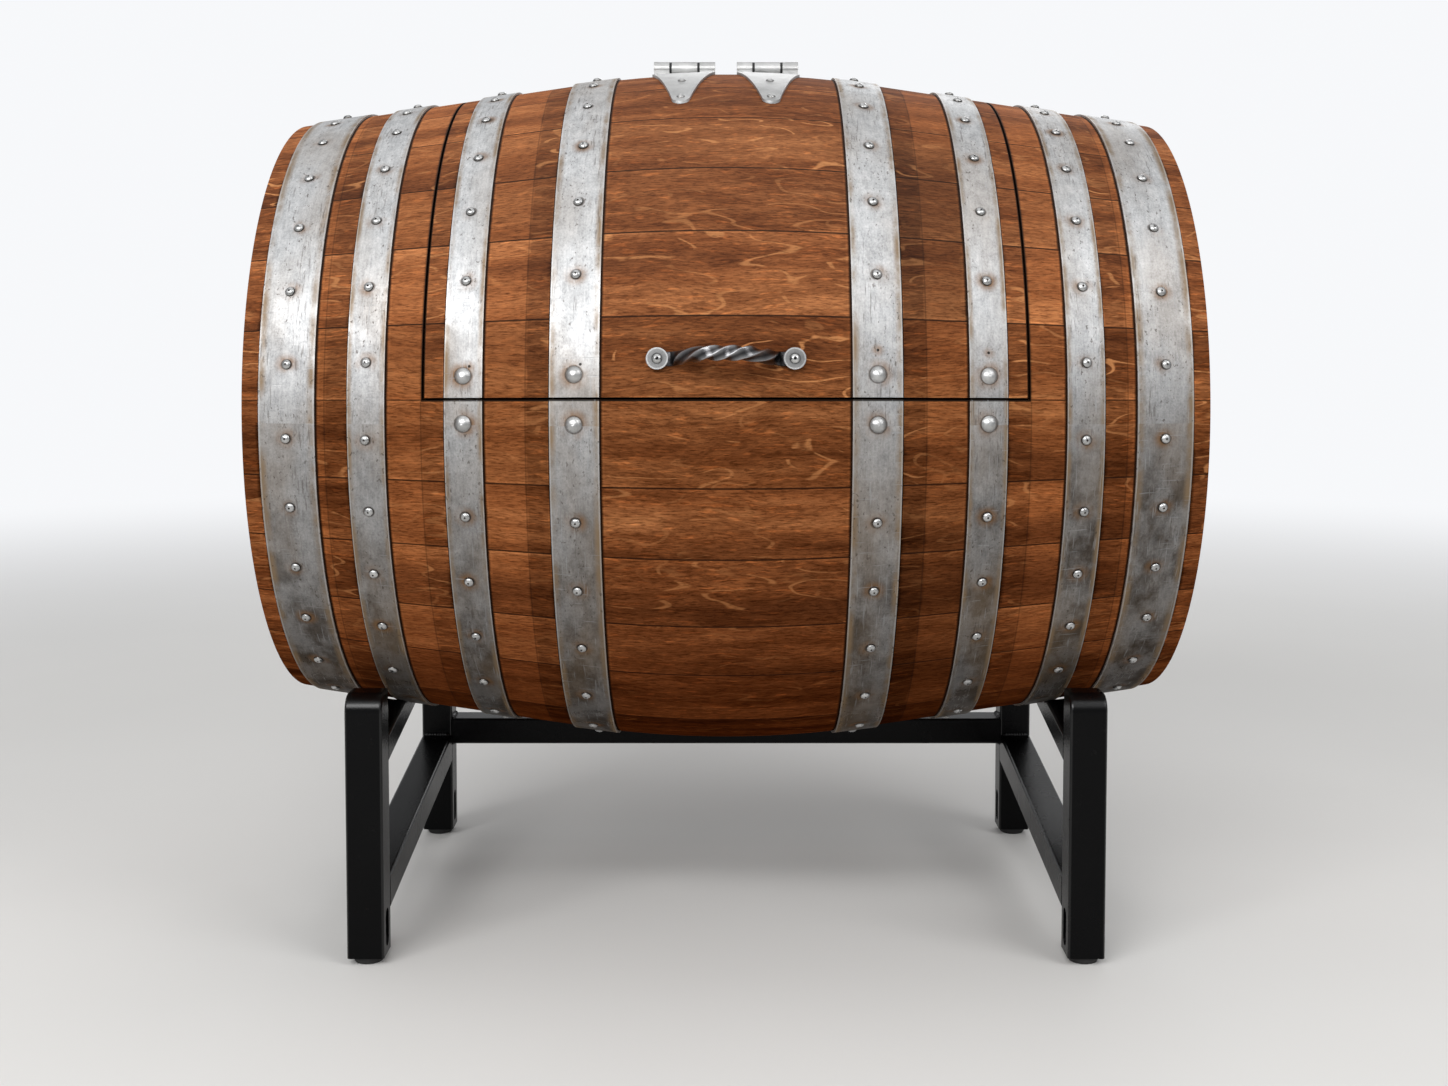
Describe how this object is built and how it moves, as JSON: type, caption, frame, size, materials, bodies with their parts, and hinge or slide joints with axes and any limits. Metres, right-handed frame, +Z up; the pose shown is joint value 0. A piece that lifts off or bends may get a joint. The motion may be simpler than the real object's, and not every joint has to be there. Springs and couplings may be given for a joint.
{
  "type": "barrel bar cabinet",
  "caption": "Oak barrel lying on a square-tube steel stand, with a hinged quarter of its side as a lid over a decked inside that holds bottles and glasses.",
  "frame": {"origin": "on the floor under the middle of the overall box", "axes": "+X along the barrel to the right as seen from the front, -Y to the front (handle side), +Z up"},
  "size_m": [0.88, 0.7423, 0.8983],
  "materials": {
    "oak_stave": "oiled oak, flecked grain",
    "oak_head": "oiled oak",
    "oak_inside": "planed oak",
    "hoop_steel": "worn galvanised",
    "hinge_steel": "worn grey",
    "handle_iron": "dark forged",
    "fastener_steel": "domed heads",
    "stand_black": "satin powder coat",
    "glide_plastic": "moulded"
  },
  "bodies": {
    "cabinet": {"body_hinge_screws": "fastener_steel", "body_hoop_bolts": "fastener_steel", "deck_bearers": "oak_inside", "deck_boards": "oak_inside", "foot_glides": "glide_plastic", "front_left_leg": "stand_black", "front_left_saddle_arm": "stand_black", "front_right_leg": "stand_black", "front_right_saddle_arm": "stand_black", "hinge_washers": "glide_plastic", "left_bilge_hoop": "hoop_steel", "left_chime_hoop": "hoop_steel", "left_french_hoop": "hoop_steel", "left_head": "oak_head", "left_hinge_body_leaf": "hinge_steel", "left_hinge_pin": "hinge_steel", "left_lid_rest": "oak_inside", "left_quarter_hoop": "hoop_steel", "left_side_rail": "stand_black", "left_stave_ends": "oak_stave", "rear_left_leg": "stand_black", "rear_left_saddle_arm": "stand_black", "rear_right_leg": "stand_black", "rear_right_saddle_arm": "stand_black", "rear_stretcher": "stand_black", "right_bilge_hoop": "hoop_steel", "right_chime_hoop": "hoop_steel", "right_french_hoop": "hoop_steel", "right_head": "oak_head", "right_hinge_body_leaf": "hinge_steel", "right_hinge_pin": "hinge_steel", "right_lid_rest": "oak_inside", "right_quarter_hoop": "hoop_steel", "right_side_rail": "stand_black", "right_stave_ends": "oak_stave", "staves_bottom_front": "oak_stave", "staves_bottom_rear": "oak_stave", "staves_front_lower": "oak_stave", "staves_front_upper": "oak_stave", "staves_rear_lower": "oak_stave", "staves_rear_middle": "oak_stave", "staves_rear_upper": "oak_stave"},
    "lid": {"handle_bar": "handle_iron", "handle_rosettes": "fastener_steel", "handle_screws": "fastener_steel", "left_hinge_lid_leaf": "hinge_steel", "lid_hinge_screws": "fastener_steel", "lid_hoop_bolts": "fastener_steel", "lid_left_bilge_hoop": "hoop_steel", "lid_left_french_hoop": "hoop_steel", "lid_right_bilge_hoop": "hoop_steel", "lid_right_french_hoop": "hoop_steel", "lid_stave_1": "oak_stave", "lid_stave_2": "oak_stave", "lid_stave_3": "oak_stave", "lid_stave_4": "oak_stave", "lid_stave_5": "oak_stave", "lid_stave_6": "oak_stave", "lid_stave_7": "oak_stave", "right_hinge_lid_leaf": "hinge_steel"}
  },
  "joints": [
    {"name": "lid_hinge", "type": "hinge", "parent": "cabinet", "child": "lid", "pos_m": [0, 0.00554, 0.89088], "axis": [-1, 0, 0], "range_deg": [0, 110]}
  ]
}
